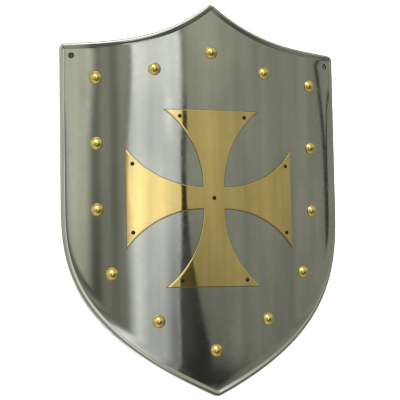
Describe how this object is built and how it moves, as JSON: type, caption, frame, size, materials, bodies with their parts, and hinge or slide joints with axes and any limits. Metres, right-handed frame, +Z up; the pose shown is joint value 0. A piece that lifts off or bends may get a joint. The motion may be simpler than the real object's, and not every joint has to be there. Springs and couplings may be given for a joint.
{
  "type": "knight shield",
  "caption": "Heater-shaped curved steel shield with a rolled rim, a riveted brass cross with flaring arms and a border of domed brass studs.",
  "frame": {"origin": "centre of the shield's footprint on the surface it lies on, under the middle of its height and width", "axes": "+Z up, out of the face at the crown; +Y along the face towards the peak; +X to the right as seen from the front"},
  "size_m": [0.4616, 0.6099, 0.0651],
  "materials": {
    "satin_steel": "satin polished sheet steel",
    "polished_brass": "polished sheet brass, lightly tarnished",
    "stud_brass": "polished solid brass",
    "blackened_steel": "blackened steel"
  },
  "bodies": {
    "root": {"shield_plate": "satin_steel", "brass_cross": "polished_brass", "stud_01": "stud_brass", "stud_02": "stud_brass", "stud_03": "stud_brass", "stud_04": "stud_brass", "stud_05": "stud_brass", "stud_06": "stud_brass", "stud_07": "stud_brass", "stud_08": "stud_brass", "stud_09": "stud_brass", "stud_10": "stud_brass", "stud_11": "stud_brass", "stud_12": "stud_brass", "stud_13": "stud_brass", "stud_14": "stud_brass", "rivet_01": "blackened_steel", "rivet_02": "blackened_steel", "rivet_03": "blackened_steel", "rivet_04": "blackened_steel", "rivet_05": "blackened_steel", "rivet_06": "blackened_steel", "rivet_07": "blackened_steel", "rivet_08": "blackened_steel", "rivet_09": "blackened_steel"}
  },
  "joints": []
}
